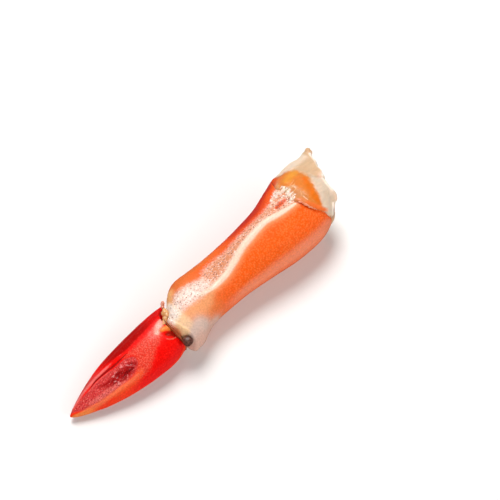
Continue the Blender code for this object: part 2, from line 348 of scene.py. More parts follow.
def linkSkin(tree, shader, colour, height, strength, depth):
    # the colour, and a bump so many mm deep
    bump = addNode(tree, "ShaderNodeBump", {"Strength": strength, "Distance": depth * mm}, {"Height": height})
    tree.links.new(colour, shader.inputs["Base Color"])
    tree.links.new(bump.outputs[0], shader.inputs["Normal"])


def setShader(shader, values):
    for socket, value in values.items():
        shader.inputs[socket].default_value = value


fingerShape = {
    # the crease between left flank and crimson field, painted dark as shade, with a ridge on each side
    "crease": (
        (-43.8, 9.5), (-41.9, 9.6), (-39.7, 9.2), (-37.4, 8.6), (-35.2, 8.0), (-33.0, 7.7), (-30.8, 7.4),
    ),
    # both ridges are painted pale along them as highlights
    "ridge": (
        (-50.6, 10.0), (-48.8, 10.2), (-46.8, 10.4), (-44.3, 10.3), (-41.6, 10.1), (-39.4, 9.8), (-37.1, 9.4),
        (-34.8, 9.0), (-32.4, 8.6),
    ),
    "ridgeLow": ((-45.0, 9.2), (-42.8, 9.1), (-40.6, 8.8), (-38.7, 8.3), (-36.8, 7.8)),
    # the crimson field, crumpled where it is darkest
    "field": (
        (-51.6, 9.6), (-47.2, 9.8), (-43.3, 9.2), (-40.4, 8.7), (-37.7, 8.0), (-35.3, 7.4), (-32.6, 6.9),
        (-30.6, 5.4), (-30.8, 3.4), (-33.0, 2.3), (-36.4, 2.2), (-38.6, 2.9), (-42.3, 3.9), (-45.9, 5.4),
        (-49.4, 7.5),
    ),
    "dark": (
        (-31.7, 4.7), (-31.4, 3.3), (-33.0, 2.7), (-35.3, 2.8), (-37.0, 3.4), (-38.9, 4.3), (-40.6, 5.7),
        (-42.2, 7.8), (-40.8, 7.4), (-39.3, 6.8), (-37.4, 6.7), (-35.2, 5.9), (-33.2, 5.5),
    ),
    "fieldDeep": 0.25, "crumpleHigh": 0.9, "crumpleSize": 1.9, "crinkleHigh": 0.3, "crinkleSize": 0.9,
    # raised folds painted pale as highlights, and hollows painted dark as shade, among the crumples
    "glints": (
        ((-38.3, 6.5), (-37.5, 6.1)), ((-38.0, 6.0), (-37.3, 6.2)), ((-35.0, 6.4), (-34.3, 5.7)),
        ((-34.7, 6.0), (-34.9, 6.5)), ((-38.9, 5.2), (-38.0, 4.8)), ((-39.0, 4.1), (-38.1, 3.5)),
        ((-38.2, 4.3), (-38.0, 3.6)), ((-35.6, 3.0), (-35.0, 3.5)), ((-40.8, 4.5), (-40.1, 4.0)),
    ),
    "glintWidth": (0.26, 0.6), "glintHigh": 0.2,
    "hollows": (
        (-36.1, 5.9, 0.8), (-36.4, 3.8, 0.7), (-39.2, 5.7, 0.5), (-32.4, 4.6, 0.6), (-37.3, 5.2, 0.35),
    ),
    "hollowDeep": 0.2, "pocketSize": 1.5, "pocketDeep": 0.25,
    "fieldLight": ((-47.0, 7.0), (-44.0, 5.6), (-41.0, 4.6), (-38.6, 3.8), (-35.8, 2.9)),
    # the light line on the field's right, and the orange glow beside it
    "line": (
        (-49.5, 7.3), (-48.1, 6.5), (-45.9, 5.3), (-43.0, 4.1), (-39.7, 3.0), (-37.0, 2.1), (-35.2, 1.6),
        (-33.1, 1.2),
    ),
    "lineGlow": ((-41.0, 3.1), (-38.0, 2.1), (-35.2, 1.3), (-33.2, 1.0), (-31.8, 1.2)),
    # the pebbly coral band along the middle, partly a painted sheen, and the painted glare at its end
    "band": (
        (-36.2, 2.6), (-32.2, 3.0), (-30.2, 5.4), (-32.4, 7.2), (-29.0, 6.8), (-24.0, 6.2), (-20.0, 6.2),
        (-18.0, 6.0), (-19.4, 4.8), (-20.8, 3.6), (-22.8, 2.3), (-25.3, 1.6), (-27.8, 0.6), (-30.7, -0.2),
        (-33.5, 0.4), (-36.5, 1.8),
    ),
    "pale": ((-18.3, 5.9), (-19.7, 5.3), (-21.6, 4.4)),
    # the orange lip at the hinge, with the dimple and the small fold beside it
    "lip": ((-20.3, 3.9), (-19.3, 3.6), (-18.6, 2.9), (-18.3, 2.0)),
    # the dimple is painted dark as shade, and the fold paler as a highlight
    "dimple": ((-20.2, 2.1), (-19.2, 1.3), (-18.5, 0.3), (-18.2, -0.9)),
    "fold": ((-21.3, 1.2), (-20.4, 0.3), (-19.5, -0.1), (-18.8, -0.2)),
    # the cutting edge on the right, low down
    "rim": (
        (-45.0, 3.9, 2.2), (-36.0, -0.3, 3.0), (-28.0, -2.9, 3.6), (-22.0, -3.4, 4.6), (-18.8, -2.8, 6.4),
    ),
    # how wide each line is, and how much its two ends thin out
    "widths": {
        "crease": (0.42, 0.8), "ridge": (0.5, 0.6), "ridgeLow": (0.35, 0.6), "line": (0.55, 0.5),
        "lip": (0.8, 0.3), "dimple": (1.05, 0.5), "fold": (0.22, 0.7), "pale": (1.1, 0.3), "rim": (1.0, 0.4),
        "fieldLight": (0.9, 0.6), "lineGlow": (1.0, 0.4),
    },
    # how far each line stands out, or is cut in where it is below 0
    "heights": {
        "ridge": 0.14, "ridgeLow": 0.16, "crease": -0.26, "line": 0.08, "lip": 0.3, "dimple": -0.4,
        "fold": 0.12,
    },
    "rimHigh": 0.15,
    "softEdges": {"field": 0.7, "dark": 1.8, "band": 2.2}, "aroundDark": 4.5,
    "pebbleSize": 0.55, "pebbleHigh": 0.05, "gritSize": 0.4, "baseOut": 0.26,
    # the right edge of the strip on the left flank and the left edge of the orange side: Y at each X
    "stripX": (-52, -41, -35.6, -29.7, -24, -19), "stripY": (9.4, 10.6, 9.2, 7.6, 7.2, 6.9),
    "lowerX": (-52, -47, -42, -36), "lowerY": (9.2, 6.0, 3.4, 2.0),
}


def fingerMaterial():
    # Boiled crab cuticle: hard chitin, red with shell pigment and wet, so it reflects like varnish.
    material, tree, shader, place = newMaterial("boiledFingerCuticle")
    under = painted(tree, place, "#ee0803", (
        # deeper red on the left strip, partly painted shade for the flank turned from the light
        ("strip", "#ac0200", 0.0, 1.0, 0.2, 2.0),
        # a duller coral along the left flank near the tip: a painted sheen
        ("leftCoral", "#c84844", 0.0, 1.0, 0.3, 1.5),
        ("lowRed", "#f8360e", 0.0, 1.0, 0.3, 2.0),
        ("belly", "#d8401c", 0.0, 1.0, 0.2, 3.0),
        # the coral band, partly a painted sheen
        ("band", "#e03524", 0.1, 0.9, 0.7, 0.8),
        ("field", "#d43a3a", 0.2, 0.8, 0.6, 0.8),
        ("fieldLight", "#e86c64", 0.1, 0.9, 0.8, 0.6),
        ("dark", "#a80a0c", 0.15, 0.85, 1.6, 0.7),
        # painted shade in the cut-in hollows and pockets
        ("hollow", "#7a0608", 0.1, 0.7, 0.8, 0.5),
        # dark and pink specks over the field: painted shade and painted highlights of its fine crinkles
        ("crinkly", "#b0141c", 0.5, 0.85, 1.9, 0.3),
        ("crinkly", "#f09a92", 0.75, 1.1, 2.2, 0.24),
        # painted highlights on the crumple tops and the raised folds
        ("crest", "#f09490", 0.25, 0.8, 0.8, 0.4),
        # painted highlight along the ridges, and painted shade in the cut-in crease
        ("ridge", "#ee6c66", 0.1, 0.9, 0.6, 0.5),
        ("crease", "#a00a08", 0.2, 0.9, 0.2, 0.8),
        ("lineGlow", "#f4582c", 0.0, 0.9, 0.5, 0.8),
        ("line", "#f26e44", 0.1, 1.1, 0.6, 0.5),
        ("orange", "#f48440", 0.1, 1.0, 0.3, 0.6),
        ("rim", "#f2401a", 0.1, 0.9, 0.2, 1.0),
        # the glare at the band's end: a painted highlight
        ("pale", "#f2ac98", 0.0, 1.0, 0.5, 0.45),
        ("lip", "#f08236", 0.15, 0.8, 0.1, 0.6),
        # painted shade in the dimple, and a painted highlight along the small raised fold
        ("dimple", "#9c1404", 0.1, 0.95, 0.2, 0.6),
        ("fold", "#d85642", 0.3, 0.9, 0.0, 0.6),
    ))
    grit = fingerShape["gritSize"]  # the finest pebbles that still show in the render
    # pale coral specks over the pebbly parts: painted highlights on the pebbles
    under = specks(tree, place, under, "pebbly", "#ee6854", grit, 0.6)
    under = grained(tree, place, under, 0.45, 0.12)
    pebble = addNode(tree, "ShaderNodeTexVoronoi", {"Scale": 1 / (grit * mm)}, {"Vector": place})
    pebbly = addNode(tree, "ShaderNodeAttribute", attribute_name="pebbly")
    high = addNode(
        tree, "ShaderNodeMath", links={0: pebble.outputs["Distance"], 1: pebbly.outputs["Fac"]},
        operation="MULTIPLY",
    )
    linkSkin(tree, shader, under, high.outputs[0], 0.6, 0.06)
    setShader(shader, {
        "Roughness": 0.36, "IOR": 1.54, "Specular IOR Level": 0.08, "Coat Weight": 0.18,
        "Coat Roughness": 0.12,
    })
    return material


def makeFinger():
    shape = fingerShape
    piece = copyOf("finger_shell", "fingerCuticle")
    subdivided(piece, 3)
    spots = places(piece)
    (x, y, _), (wayX, _, wayZ) = spots.T, facing(piece).T
    top = soften(wayZ, 0.0, 0.35)
    lines = {name: along(spots, shape, name) * top for name in (*shape["heights"], "pale")}
    rim = along(spots, shape, "rim")
    field, dark, band = (within(spots, shape, name) * top for name in ("field", "dark", "band"))
    around = inside(spots, shape["dark"], shape["aroundDark"]) * top
    # sharp folds like crushed foil where the field is darkest, finer ones over the rest of it
    crumple = noiseAt(spots, shape["crumpleSize"], dark, (1.2, 0.8, 1), "ridges", 5)
    hollow = dark * soften(noiseAt(spots, shape["pocketSize"], dark, (1.2, 0.8, 1), "ridges", 3), 0.5, 0.2)
    crinkle = noiseAt(spots, shape["crinkleSize"], field, (1.3, 0.8, 1), "ridges", 9)
    glints = sum(nearLine(spots, line, *shape["glintWidth"]) for line in shape["glints"])
    glints = np.clip(glints, 0, 1) * field
    pocks = sum(spot(spots, (x, y), radius) for x, y, radius in shape["hollows"])
    pocks = np.clip(pocks, 0, 1) * field * (1 - glints)
    pebbly = np.clip(band * (1 - field) + 0.4 * field * (1 - dark), 0, 1) * (1 - lines["dimple"])
    pebbles = noiseAt(spots, shape["pebbleSize"], pebbly, kind="cells", seed=1)
    # the base reaches up to the skin of the hinge
    relief(piece, shape["baseOut"] * soften(wayX, 0.2, 0.7) * soften(x, -21, -19))
    relief(piece, (
        sum(high * lines[name] for name, high in shape["heights"].items()) + shape["rimHigh"] * rim
        - shape["fieldDeep"] * field + shape["crumpleHigh"] * dark * (crumple - 0.45)
        - shape["pocketDeep"] * hollow + shape["glintHigh"] * glints - shape["hollowDeep"] * pocks
        + shape["crinkleHigh"] * field * (crinkle - 0.3) + shape["pebbleHigh"] * pebbly * pebbles
    ))
    # how far each place lies left of the two edges
    left = y - np.interp(x, shape["stripX"], shape["stripY"])
    lower = y - np.interp(x, shape["lowerX"], shape["lowerY"])
    # the left strip's deeper red is partly painted shade for the flank turned from the light
    strip = soften(left, 0, 1) * soften(x, -41, -32) * (1 - 0.5 * soften(x, -24, -19))
    # the tops of the dark crumples and the raised folds, painted pale as highlights
    crest = dark * soften(crumple, 0.6, 0.9) * soften(x, -41, -38) + 0.6 * glints
    # dark and pink specks over the field, round the dark zone and along the ridge: painted shade and
    # highlights
    crinkly = np.maximum(field * (1 - 0.2 * dark) * 0.6, np.maximum(0.45 * around, 0.4 * lines["ridge"]))
    mark(
        piece, strip=strip, belly=soften(-wayZ, 0.1, 0.7), rim=rim, band=band, field=field, dark=dark,
        orange=soften(lower, 0.2, -0.5) * soften(-x, 44, 50),
        fieldLight=along(spots, shape, "fieldLight") * field,
        lowRed=soften(lower, 1.2, -0.2) * soften(-x, 32, 41) * soften(wayZ, -0.5, 0.1),
        # a painted sheen along the left flank near the tip
        leftCoral=soften(left, -0.3, 0.3) * soften(-x, 36, 46) * soften(wayZ, -0.3, 0.5),
        hollow=np.maximum(hollow, 0.5 * pocks), crest=crest, crinkly=crinkly, pebbly=pebbly * 0.65,
        ridge=np.maximum(lines["ridge"] * soften(-x, 33, 39), 0.5 * lines["ridgeLow"]),
        lineGlow=along(spots, shape, "lineGlow") * top * 0.7,
        **{name: lines[name] for name in ("crease", "line", "pale", "lip", "dimple", "fold")},
    )
    finish(piece, fingerMaterial(), "finger_shell")


sleeveShape = {
    # the ridge is raised, and painted pale along it with peach each side as highlights
    "ridge": (
        (-6.5, 1.2), (-3.0, 0.4), (-1.0, 0.1), (2.6, -0.1), (6.7, 0.4), (10.5, 1.1),
        (14.0, 1.2), (18.1, 1.1), (21.5, 0.7), (24.7, -0.5), (27.5, -1.3), (30.5, -2.0),
    ),
    "ridgeHigh": 0.22,
    # the flat speckled face left of the ridge, painted pale as a highlight, and the pale knuckle it runs into
    "facet": (
        (-6.0, 6.2), (-2.3, 4.8), (0.2, 6.0), (4.0, 5.8), (8.0, 4.7), (12.0, 4.6),
        (17.0, 4.1), (22.0, 3.6), (27.0, 3.8), (34.5, 5.2), (34.5, -1.6), (28.0, -0.9), (22.0, 0.9),
        (14.0, 1.3), (6.7, 0.5), (-1.0, 0.4), (-6.0, 1.4),
    ),
    # the knuckle's pale is partly a painted sheen
    "white": (
        (-17.2, 3.9), (-14.8, 5.6), (-13.1, 6.6), (-10.1, 7.0), (-6.6, 6.1), (-2.6, 4.4), (-1.2, 2.6),
        (-3.5, 1.2), (-7.2, 1.3), (-10.1, 1.7), (-12.9, 2.4), (-16.6, 2.6),
    ),
    "tan": (
        (-17.0, 2.8), (-12.5, 1.8), (-9.5, 1.2), (-6.2, 0.6), (-3.0, 0.0), (-4.5, -1.6), (-7.7, -2.6),
        (-10.5, -2.2), (-12.8, -1.3), (-15.0, -0.6), (-17.5, 0.2),
    ),
    # the thin edge of the shell that the tan meat shows through
    "edgeTan": (
        (30.2, -0.4), (31.0, -1.7), (32.1, -2.9), (33.4, -4.1), (34.8, -5.3), (35.6, -4.4), (35.0, -1.0),
        (34.6, 2.0), (33.0, 2.2), (31.6, 0.6),
    ),
    # the pale lobe of the knuckle beside the brown bead, pink lower down
    "lobe": ((-15.2, -2.9, 11.5), (-12.8, -3.3, 12.6), (-11.6, -4.1, 11.2)),
    "lobePink": (
        (-16.5, -5.0, 7.5), (-14.5, -5.8, 7.5), (-13.2, -4.9, 10.6), (-11.8, -4.9, 8.5), (-8.3, -4.5, 6.8),
    ),
    "rimLeft": ((-10.5, 9.6), (-12.2, 8.4), (-13.5, 6.9), (-14.6, 5.4)),
    # the frayed hole near the torn end, with pale flecks round it
    "star": ((27.0, 1.3), (28.8, 1.4), (30.5, 1.2)), "starDeep": 0.4,
    "frayed": (
        (25.6, 1.2), (27.4, 3.4), (30.0, 5.0), (31.8, 5.8), (34.3, 5.0), (34.8, 3.4), (34.5, 0.4),
        (32.8, -1.2), (30.2, -1.4), (28.0, -0.6),
    ),
    "widths": {
        "ridge": (1.05, 0.5), "star": (1.0, 0.3), "lobe": (2.6,), "lobePink": (3.0,), "rimLeft": (1.6,),
    },
    "glowWidth": (2.3, 0.3),
    "softEdges": {"frayed": 1.6, "facet": 3.8, "white": 4.2, "tan": 4.0, "edgeTan": 1.6},
    "crumbSize": 0.95, "crumbHigh": 0.25, "pebbleSize": 0.62, "pebbleHigh": 0.07, "pitSize": 0.75,
    "pitDeep": 0.1, "pitPatch": 2.5,
    # how far the knuckle reaches to the hinge and over the bead, and the shell's edge over the meat
    "endOut": 0.26, "endOver": 0.4, "endMore": 0.4, "edgeOut": 1.2,
    # the box in which the faces are made finer
    "finerLow": (-18.5, -3.6, 7), "finerHigh": (34.5, 8.6, 20),
}


def sleeveMaterial():
    # Boiled crab shell: chitin and chalk with fine pits, satin when wet, paler over the ridge.
    material, tree, shader, place = newMaterial("boiledSleeveShell")
    under = painted(tree, place, "#f25a10", (
        ("low", "#e67c42", 0.0, 1.0, 0.3, 3.0),
        # pink on the side facing -Y: a painted reflection of the pale floor
        ("flank", "#f08662", 0.0, 1.0, 0.3, 2.0),
        ("belly", "#eb7a44", 0.0, 1.0, 0.3, 4.0),
        ("leftLow", "#dc6a2c", 0.0, 1.0, 0.3, 2.0),
        # peach each side of the ridge: the soft edge of its painted highlight
        ("glow", "#f4a06c", 0.1, 1.2, 0.2, 1.2),
        # a painted highlight over the speckled face
        ("facet", "#edbaa6", 0.1, 0.95, 0.8, 1.0),
        # deep red on the side facing +Y, partly painted shade for that side
        ("leftHigh", "#c01402", 0.0, 0.9, 0.3, 2.0),
        ("tan", "#ec9c68", 0.0, 1.0, 0.3, 2.0),
        # the knuckle's pale, partly a painted sheen
        ("white", "#f2d6c9", 0.0, 0.9, 0.3, 1.0),
        ("rimLeft", "#f2ac6c", 0.1, 1.0, 0.3, 1.5),
        ("lobePink", "#d8aa98", 0.0, 0.8, 0.2, 1.6),
        ("lobe", "#d4b6a8", 0.0, 1.15, 0.2, 1.6),
        # painted light on the knuckle's end face, lifting the shade it falls in
        ("endFace", "#fcce9c", 0.0, 1.0, 0.3, 2.0),
        ("endWhite", "#fff4e6", 0.0, 0.9, 0.2, 1.2),
        # a painted highlight along the ridge
        ("ridge", "#f2d0b8", 0.12, 0.75, 0.2, 0.8),
        ("edgeTan", "#eaa66e", 0.1, 0.9, 0.5, 1.0),
        ("frayed", "#f2c2aa", 0.1, 0.9, 0.6, 0.8),
        ("star", "#dc5420", 0.15, 0.8, 0.7, 0.5),
        ("star", "#a0482c", 0.9, 1.2, 1.4, 0.35),
        # near white on the raised crumbs, partly a painted highlight
        ("crumb", "#fff4ec", 0.35, 0.9, 0.8, 0.4),
    ))
    # granules as fine as still show, pale pebbles, and pits as far apart as the photo shows them
    # the pebbles' pale is a painted highlight, and the pits' dark brown is partly painted shade
    for mask, colour, size, radius in (
        ("granules", "#ff8a48", 0.55, 0.6), ("pebbly", "#fff2ea", 0.5, 0.5), ("pitted", "#8a4a36", 0.8, 0.44),
    ):
        under = specks(tree, place, under, mask, colour, size, radius)
    # painted shade in the valleys between the pebbles, and partly in the cut-in pits
    for mask, colour, low, high in (("valley", "#d88a62", 0.1, 0.9), ("pits", "#96543e", 0.1, 0.7)):
        share = shareOf(tree, place, mask, low, high, 0.0, 1.0)
        under = addNode(
            tree, "ShaderNodeMix", {7: linear(colour)}, {0: share, 6: under}, data_type="RGBA",
        ).outputs[2]
    under = grained(tree, place, under, 0.5, 0.1)
    fine = addNode(tree, "ShaderNodeTexVoronoi", {"Scale": 1 / (0.5 * mm)}, {"Vector": place})
    linkSkin(tree, shader, under, fine.outputs["Distance"], 0.4, 0.06)
    setShader(shader, {
        "Roughness": 0.42, "IOR": 1.52, "Specular IOR Level": 0.12, "Coat Weight": 0.2,
        "Coat Roughness": 0.16, "Subsurface Weight": 0.05, "Subsurface Radius": (1.0, 0.45, 0.25),
        "Subsurface Scale": 0.8 * mm,
    })
    return material


def makeSleeve():
    shape = sleeveShape
    piece = copyOf("palm_shell", "sleeveShell")
    subdivided(piece, 1)
    # the knuckle rounds over into the hinge
    x, y, z = places(piece).T
    knuckle = soften(-x, 12.5, 14.5) * soften(z, 5.0, 8.0)
    appliedWhere(piece, knuckle * (knuckle > 0.01), "SMOOTH", factor=0.5, iterations=6)
    # the speckled face and the knuckle get finer faces, for their pits and pebbles
    finerWhere(piece, shape["finerLow"], shape["finerHigh"], 2)
    subdivided(piece, 1)
    spots = places(piece)
    (x, y, z), (wayX, wayY, wayZ) = spots.T, facing(piece).T
    top = soften(wayZ, 0.0, 0.35)
    ridge, star = along(spots, shape, "ridge") * top, along(spots, shape, "star") * top
    frayed = within(spots, shape, "frayed") * top * (1 - star)
    facet, white, tan = (within(spots, shape, name) * top for name in ("facet", "white", "tan"))
    # the knuckle's end face looks away from the lamps and is painted light, to lift its shade
    endFace = soften(-wayX, 0.05, 0.75) * soften(-x, 12, 14)
    speckled = np.maximum(facet * (1 - ridge), white)
    pebbles = noiseAt(spots, shape["pebbleSize"], speckled, kind="cells", seed=11)
    dots = noiseAt(spots, shape["pitSize"], speckled, kind="dots", seed=12)
    rare = noiseAt(spots, shape["pitPatch"], speckled, seed=13)
    pits = speckled * soften(dots, 0.5, 0.75) * soften(rare, 0.05, 0.35) * (1 - 0.35 * white)
    ragged = noiseAt(spots, shape["crumbSize"], star + frayed, kind="cells", seed=2)
    # the knuckle's end reaches up to the skin of the hinge
    relief(piece, shape["endOut"] * soften(-wayX, 0.2, 0.7) * soften(-x, 12, 14))
    over = shape["endOver"] * soften(y, -2.4, -0.6) + shape["endMore"] * soften(y, 0.3, 2.3)
    relief(piece, -over * soften(-x, 11.5, 16.5) * soften(-y, -6.0, -3.6), "X")
    # on the right the shell's edge reaches a little further over the meat
    rightEdge = soften(x, 26, 33) * soften(-y, 0.8, 3.4) * soften(y, -11.0, -9.0) * soften(z, 9, 12)
    relief(piece, shape["edgeOut"] * rightEdge, "X")
    relief(piece, (
        shape["ridgeHigh"] * ridge + shape["pebbleHigh"] * speckled * pebbles - shape["pitDeep"] * pits
        - shape["starDeep"] * star * (0.4 + 0.6 * ragged) + shape["crumbHigh"] * frayed * (ragged - 0.35)
    ))
    left, plain = soften(wayY, 0.1, 0.75), soften(1 - speckled - ridge - frayed, 0.3, 1.0)
    mark(
        piece, ridge=ridge, star=star, frayed=frayed, facet=facet, white=white, tan=tan, pits=pits,
        glow=nearLine(spots, shape["ridge"], *shape["glowWidth"]) * top,
        low=soften(-x, -4, 12), belly=soften(-wayZ, 0.0, 0.7),
        # the pink side facing -Y is a painted reflection of the floor
        flank=soften(-wayY, 0.72, 1.0) * soften(wayZ, -0.4, 0.2) * soften(x, -8, 6),
        # the deep red of leftHigh is partly painted shade on the side facing +Y
        leftLow=left * soften(-x, -16, 0), leftHigh=soften(wayY, 0.45, 0.97) * soften(x, 0, 22),
        rimLeft=along(spots, shape, "rimLeft") * soften(z, 1, 8), lobe=along(spots, shape, "lobe"),
        lobePink=np.maximum(along(spots, shape, "lobePink"), soften(-x, 12.5, 15.5) * soften(-y, -3.0, 1.0)),
        endFace=endFace * soften(y, -3.6, -1.8), endWhite=endFace * soften(y, 0.4, 3.4),
        edgeTan=within(spots, shape, "edgeTan") * top, crumb=frayed * soften(ragged, 0.3, 0.6),
        pitted=speckled * (0.6 + 0.4 * rare) * (0.9 - 0.4 * white),
        valley=speckled * (1 - pebbles) * (1 - 0.6 * white) * (1 - star),
        pebbly=speckled * 0.8 * (1 - star), granules=0.4 * plain * soften(x, -6, 4) * (1 - left),
    )
    finish(piece, sleeveMaterial(), "palm_shell")


meatShape = {
    # the yellow and orange patch of roe fat on top
    "patch": (
        (38.1, 8.3), (39.5, 7.7), (40.9, 6.2), (41.5, 4.3), (41.6, 1.9), (41.0, -0.1), (40.0, -2.2),
        (38.7, -4.7), (37.7, -6.4), (36.6, -8.0), (35.0, -7.0), (34.6, -5.2), (35.5, -3.2), (36.0, -1.1),
        (36.2, 1.0), (36.1, 2.4), (34.9, 3.4), (34.0, 4.6), (34.7, 6.3), (36.3, 7.8),
    ),
    "tan": (
        (35.4, 2.7), (36.0, 1.3), (36.0, -1.2), (35.6, -4.0), (34.8, -5.8), (33.4, -4.6), (32.6, -2.8),
        (32.6, -1.1), (33.6, 0.8),
    ),
    "yellow": ((40.4, 5.3), (38.2, 5.3), (36.7, 5.1)),
    "deep": ((40.3, 1.6), (39.4, -0.1), (37.8, -3.1), (37.0, -5.2), (36.4, -6.8)),
    "streaks": (
        ((38.3, 3.6), (36.9, 3.2), (35.6, 3.1), (34.6, 2.8)), ((37.4, 2.6), (35.9, 2.2), (34.6, 2.0)),
        ((36.2, 1.4), (35.2, 0.9), (34.4, 0.7)), ((35.9, -0.4), (35.2, -1.2), (34.6, -1.8)),
    ),
    # orange-red thin skin that runs on from the shell at the left corner
    "corner": ((31.8, 5.8), (34.4, 6.3), (35.7, 7.7), (37.2, 9.2), (36.5, 11.0), (31.8, 10.5)),
    "cornerGlow": ((34.0, 8.4), (36.6, 8.3)),
    # the thick pale skin along the torn edge on the right, its fold and the groove beside the patch
    "rimZone": (
        (42.9, 1.2), (43.8, -0.6), (45.0, -2.0), (44.4, -4.7), (43.8, -6.8), (42.8, -7.9), (40.9, -9.0),
        (38.6, -10.2), (37.0, -9.5), (36.6, -8.3), (37.6, -7.0), (38.8, -5.5), (39.6, -3.7), (40.8, -1.9),
        (41.9, -0.1),
    ),
    # along its raised edge, painted near white as a highlight
    "rim": (
        (50.6, 7.2, 12.4), (49.0, 4.2, 13.5), (47.2, 1.2, 14.2), (45.4, -1.4, 14.8), (44.2, -3.6, 14.8),
        (43.6, -5.8, 14.0), (42.4, -8.0, 12.2), (40.7, -8.8, 12.4), (38.5, -10.0, 12.3),
    ),
    "rimHigh": 0.2,
    "groove": (
        (42.6, 1.6), (41.9, 0.0), (40.9, -1.9), (39.9, -3.7), (39.0, -5.5), (37.9, -7.0), (37.0, -8.3),
    ),
    "grooveDeep": 0.15, "fold": ((42.4, 1.8), (42.9, 0.2), (43.9, -1.0), (45.2, -2.0)), "foldDeep": 0.4,
    "glare": ((34.9, -2.2), (34.8, -3.1), (34.9, -4.0)), "glareHigh": 0.1,
    "widths": {
        "rim": (0.9, 0.3), "groove": (0.9, 0.5), "fold": (0.45, 0.5), "glare": (0.2, 0.6), "yellow": (1.5,),
        "deep": (1.2, 0.4), "cornerGlow": (1.6,),
    },
    "streakWidth": (0.18, 0.6),
    "softEdges": {"patch": 2.6, "rimZone": 2.6, "tan": 1.2, "corner": 2.0}, "haloWide": 5.0,
    # lumps of the torn end and along its rim
    "lobes": (
        ((51.5, 8.6, 11.6), 0.95), ((50.8, 8.0, 11.5), 0.8),
        ((45.0, -0.8, 13.6), 1.3, (0.6, 1, 0), 1.5), ((42.7, -6.2, 12.9), 1.6, (0.2, 1, 0.2), 1.6),
        ((40.2, -8.2, 11.6), 1.3, (0.8, 1, 0), 1.3), ((48.0, 4.0, 12.5), 1.2, (0.6, 1, 0), 1.9),
    ),
    # pale flakes, each from one end to the other, and the line of the shell's edge with finer ones
    "flakes": (
        ((31.0, 3.1), (32.3, 5.2)), ((32.0, 2.8), (33.9, 4.3)), ((32.0, 2.1), (34.4, 2.5)),
        ((31.5, 1.0), (33.5, 0.1)), ((31.1, 0.3), (32.9, -0.8)), ((30.0, -0.5), (31.5, -1.5)),
        ((29.8, 3.2), (30.7, 5.7)), ((28.8, 3.6), (29.0, 5.5)), ((33.0, 2.5), (34.2, 1.3)),
        ((27.1, 2.6), (26.4, 4.2)), ((31.0, 4.1), (32.2, 5.3)), ((30.9, 1.9), (32.2, 1.7)),
    ),
    "edge": ((33.5, 4.3), (33.5, 3.6), (33.4, 2.8), (33.2, 1.4), (33.0, 0.2), (32.8, -0.6)),
    "flakeWide": 0.23, "flakeSunk": 0.05, "flakeVoxel": 0.1, "raggedSize": 0.7, "raggedHigh": 0.15,
    # the welt over the seam on the right, at each of these Y
    "welt": np.arange(-1.0, -8.2, -0.2), "weltWide": 0.27,
    # the meat's own form: clouds and torn fibres, its left side, and how it's grown to the shell
    "voxel": 0.22, "cloudSize": 2.4, "cloudHigh": 0.2, "fibreSize": 1.4, "fibreHigh": 0.6,
    "leftIn": 0.7, "seamOut": 0.8, "overEdge": 0.7,
}


def meatMaterial(name, ground):
    # Boiled crab meat: moist muscle fibres that let light in, so the shadows stay warm and soft.
    material, tree, shader, place = newMaterial(name)
    under = painted(tree, place, ground, (
        ("shade", "#d2a47c", 0.0, 1.0, 0.5, 3.0),
        # lighter on the left side, partly a painted highlight, and mottled
        ("pale", "#ead2ba", 0.1, 1.1, 0.5, 2.0),
        # light on the raised torn fibres and dark between them: painted highlight and painted shade
        ("strand", "#f6e2ce", 0.3, 0.9, 0.4, 0.6),
        ("crevice", "#c89470", 0.3, 1.0, 0.4, 0.6),
        ("pink", "#f2cbb2", 0.1, 0.9, 0.8, 1.6),
        ("tan", "#d08854", 0.1, 0.9, 0.5, 1.0),
        ("halo", "#da945e", 0.1, 1.0, 0.8, 1.5),
        ("patch", "#da7c30", 0.1, 0.9, 1.4, 1.0),
        ("yellow", "#e29534", 0.1, 1.1, 0.9, 0.9),
        ("deep", "#de6e12", 0.1, 1.1, 0.7, 0.9),
        ("rimZone", "#d8c0a8", 0.1, 0.9, 0.5, 1.6),
        # a painted highlight along the raised edge of the torn skin
        ("rim", "#fae6d4", 0.25, 0.9, 0.3, 0.8),
        ("edge", "#ea7030", 0.1, 1.0, 0.6, 0.8),
        ("cornerGlow", "#dc7434", 0.0, 1.0, 0.3, 1.0),
        ("corner", "#d24612", 0.1, 1.0, 0.6, 1.0),
        ("streaks", "#f2bc82", 0.4, 1.3, 0.8, 0.4),
        ("glare", "#f8d0b0", 0.35, 1.1, 0.6, 0.5),
    ))
    under = grained(tree, place, under, 0.8, 0.06, (0.35, 1, 1))
    # fibres 0.6 mm thick, drawn out along the claw
    long = addNode(tree, "ShaderNodeMapping", {"Scale": (0.3, 1, 1)}, {"Vector": place}).outputs[0]
    fibre = addNode(tree, "ShaderNodeTexNoise", {"Scale": 1 / (0.6 * mm), "Detail": 3.0}, {"Vector": long})
    linkSkin(tree, shader, under, fibre.outputs["Fac"], 0.15, 0.15)
    setShader(shader, {
        "Roughness": 0.38, "IOR": 1.42, "Specular IOR Level": 0.3, "Coat Weight": 0.35,
        "Coat Roughness": 0.12, "Subsurface Weight": 0.3, "Subsurface Radius": (1.0, 0.6, 0.35),
        "Subsurface Scale": 1.4 * mm,
    })
    return material


def besideShell(spots, ways):
    # 1 where bare meat is within 0.7 mm of the shell, 0 from 2.4 mm on and under the shell
    shell = bpy.data.objects["sleeveShell"].data
    corners, faces = [v.co / mm for v in shell.vertices], [face.vertices for face in shell.polygons]
    walls = BVHTree.FromPolygons(corners, faces)
    farAway, sleeveEnd, wallReach = 9.0, 29, 4.0
    beside = np.full(len(spots), farAway)
    for i in np.nonzero(spots[:, 0] > sleeveEnd)[0]:
        place, way = Vector(spots[i]), Vector(ways[i])
        if walls.ray_cast(place, way, wallReach)[0] is None:
            beside[i] = walls.find_nearest(place)[3]
    return soften(beside, 2.4, 0.7)


